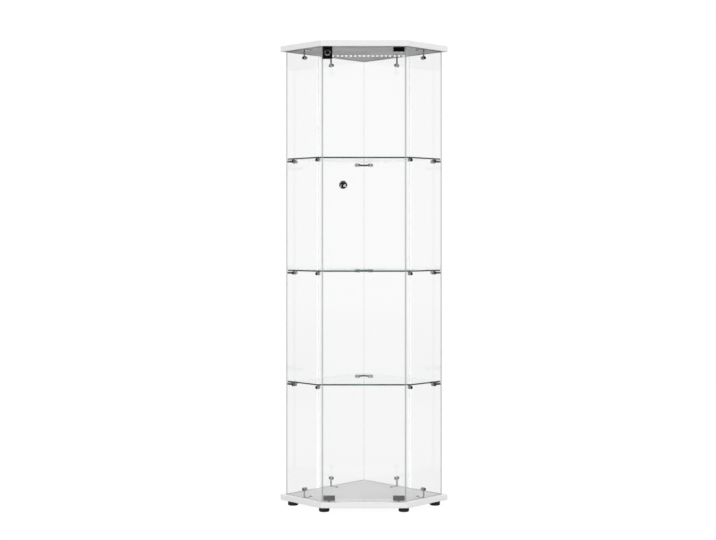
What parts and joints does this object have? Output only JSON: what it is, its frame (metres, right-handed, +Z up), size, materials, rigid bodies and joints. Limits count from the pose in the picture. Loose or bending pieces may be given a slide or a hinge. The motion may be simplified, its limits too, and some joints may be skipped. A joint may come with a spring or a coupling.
{
  "type": "corner curio cabinet",
  "caption": "Tall five-sided corner display cabinet with white boards, clear glass sides, glass shelves, a pivoting glass door with lock and knob, and lit LED tapes.",
  "frame": {"origin": "middle of the bounding box on the floor, under the cabinet's centre line", "axes": "+Z up; +Y from the door to the back corner that stands in the room's corner; +X to the right as seen from the front"},
  "size_m": [0.601, 0.4622, 1.65],
  "materials": {
    "board": "white coated board, satin, edges coated the same",
    "foot": "black moulded plastic",
    "clear_glass": "clear float glass, ground and polished edges",
    "bright_bar": "plated flat steel bar",
    "chrome": "bright chrome plating",
    "steel": "zinc plated steel",
    "pad": "grey elastomer, between metal and glass",
    "bush": "natural nylon",
    "led_tape": "white flexible circuit tape with square LEDs"
  },
  "bodies": {
    "cabinet": {"top_board": "board", "bottom_board": "board", "front_left_foot": "foot", "front_right_foot": "foot", "left_foot": "foot", "right_foot": "foot", "back_foot": "foot", "left_side_glass": "clear_glass", "right_side_glass": "clear_glass", "left_back_glass": "clear_glass", "right_back_glass": "clear_glass", "lower_shelf": "clear_glass", "middle_shelf": "clear_glass", "upper_shelf": "clear_glass", "lower_left_strap": "bright_bar", "lower_back_strap": "bright_bar", "lower_right_strap": "bright_bar", "middle_left_strap": "bright_bar", "middle_back_strap": "bright_bar", "middle_right_strap": "bright_bar", "upper_left_strap": "bright_bar", "upper_back_strap": "bright_bar", "upper_right_strap": "bright_bar", "bottom_left_side_bracket": "bright_bar", "bottom_right_side_bracket": "bright_bar", "bottom_left_back_bracket": "bright_bar", "bottom_right_back_bracket": "bright_bar", "top_left_side_bracket": "bright_bar", "top_right_side_bracket": "bright_bar", "top_left_back_bracket": "bright_bar", "top_right_back_bracket": "bright_bar", "strap_pegs": "chrome", "strap_screws": "chrome", "front_pegs": "chrome", "front_peg_screws": "chrome", "bracket_nuts": "chrome", "bracket_glass_screws": "chrome", "bracket_board_screws": "steel", "foot_screws": "steel", "top_pivot_bush": "bush", "bottom_pivot_bush": "bush", "roof_led_tape": "led_tape", "left_led_tape": "led_tape", "right_led_tape": "led_tape"},
    "door": {"door_glass": "clear_glass", "top_hinge_clamp": "chrome", "bottom_hinge_clamp": "chrome", "glide_clamp": "chrome", "clamp_set_screws": "steel", "clamp_pads": "pad", "door_pull": "chrome", "pull_screw": "steel", "pull_washers": "pad", "lock_case": "chrome", "lock_set_screws": "steel", "lock_pad": "pad"},
    "lock_plug": {"lock_plug": "chrome"},
    "lock_bolt": {"lock_bolt": "steel"}
  },
  "joints": [
    {"name": "door_hinge", "type": "hinge", "parent": "cabinet", "child": "door", "pos_m": [0.122, -0.20361, 0.036], "axis": [0, 0, 1], "range_deg": [0, 110]},
    {"name": "lock_turn", "type": "hinge", "parent": "door", "child": "lock_plug", "pos_m": [-0.12745, -0.21861, 1.60675], "axis": [0, 1, 0], "range_deg": [0, 180]},
    {"name": "bolt_slide", "type": "slide", "parent": "door", "child": "lock_bolt", "axis": [0, 0, 1], "range_m": [0, 0.007]}
  ],
  "couplings": [
    {"joint": "lock_turn", "follows": "bolt_slide", "rad_per_m": 448.79}
  ]
}
